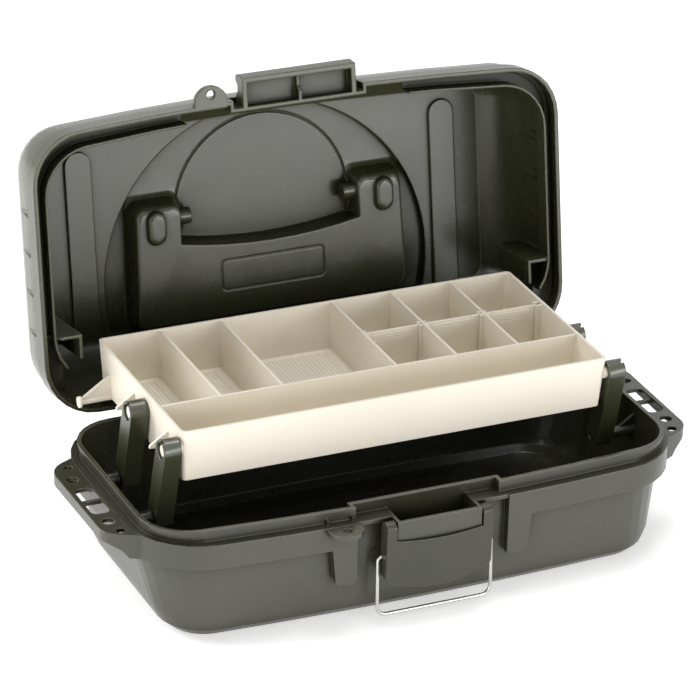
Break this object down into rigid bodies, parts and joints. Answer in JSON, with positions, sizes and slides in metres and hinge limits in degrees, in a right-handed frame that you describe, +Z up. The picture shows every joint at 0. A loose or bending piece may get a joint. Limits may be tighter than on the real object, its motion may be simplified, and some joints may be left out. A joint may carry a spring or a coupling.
{
  "type": "fishing tackle box",
  "caption": "Moulded tackle box with a domed hinged lid, wire-bail latch, and a divided tray that is carried forward on lift arms as the lid opens.",
  "frame": {"origin": "centre of the flat underside of the tub", "axes": "+X to the box's right along its length, +Y from front to back, +Z up"},
  "size_m": [0.338, 0.2536, 0.2322],
  "materials": {
    "olive_plastic": "fine satin moulded plastic",
    "arm_plastic": "satin moulded plastic",
    "tray_plastic": "satin moulded plastic",
    "bright_wire": "bright plated wire",
    "pin_steel": "plain steel"
  },
  "bodies": {
    "tub": {"base_tub": "olive_plastic", "hinge_pin_left": "pin_steel", "hinge_pin_right": "pin_steel"},
    "lid": {"lid_shell": "olive_plastic"},
    "handle": {"carry_handle": "olive_plastic"},
    "lever": {"latch_lever": "olive_plastic"},
    "bail": {"latch_bail": "bright_wire"},
    "arm_fl": {"arm_front_left": "arm_plastic"},
    "arm_fr": {"arm_front_right": "arm_plastic"},
    "arm_rl": {"arm_rear_left": "arm_plastic"},
    "arm_rr": {"arm_rear_right": "arm_plastic"},
    "tray_body": {"tray": "tray_plastic", "tray_divider_1": "tray_plastic", "tray_divider_2": "tray_plastic", "tray_divider_3": "tray_plastic"}
  },
  "joints": [
    {"name": "lid_hinge", "type": "hinge", "parent": "tub", "child": "lid", "pos_m": [0, 0.0809, 0.06294], "axis": [1, 0, 0], "range_deg": [0, 99.5]},
    {"name": "arm_fl_pivot", "type": "hinge", "parent": "tub", "child": "arm_fl", "pos_m": [-0.13, -0.018, 0.0492], "axis": [1, 0, 0], "range_deg": [0, 24]},
    {"name": "arm_fr_pivot", "type": "hinge", "parent": "tub", "child": "arm_fr", "pos_m": [0.13, -0.018, 0.0492], "axis": [1, 0, 0], "range_deg": [0, 24]},
    {"name": "arm_rl_pivot", "type": "hinge", "parent": "tub", "child": "arm_rl", "pos_m": [-0.13, 0.029, 0.0492], "axis": [1, 0, 0], "range_deg": [0, 24]},
    {"name": "arm_rr_pivot", "type": "hinge", "parent": "tub", "child": "arm_rr", "pos_m": [0.13, 0.029, 0.0492], "axis": [1, 0, 0], "range_deg": [0, 24]},
    {"name": "tray_pivot", "type": "hinge", "parent": "arm_fl", "child": "tray_body", "pos_m": [-0.128, -0.02896, 0.09284], "axis": [1, 0, 0], "range_deg": [-24, 0]},
    {"name": "lever_pivot", "type": "hinge", "parent": "tub", "child": "lever", "pos_m": [0, -0.0832, 0.0544], "axis": [-1, 0, 0], "range_deg": [0, 80]},
    {"name": "bail_pivot", "type": "hinge", "parent": "lever", "child": "bail", "pos_m": [0, -0.0808, 0.0375], "axis": [-1, 0, 0], "range_deg": [0, 90]},
    {"name": "handle_pivot", "type": "hinge", "parent": "lid", "child": "handle", "pos_m": [0, 0.147, 0.13803], "axis": [1, 0, 0], "range_deg": [0, 90]}
  ],
  "couplings": [
    {"joint": "arm_fl_pivot", "follows": "lid_hinge", "ratio": 0.24},
    {"joint": "arm_fr_pivot", "follows": "lid_hinge", "ratio": 0.24},
    {"joint": "arm_rl_pivot", "follows": "lid_hinge", "ratio": 0.24},
    {"joint": "arm_rr_pivot", "follows": "lid_hinge", "ratio": 0.24},
    {"joint": "tray_pivot", "follows": "lid_hinge", "ratio": -0.24}
  ]
}
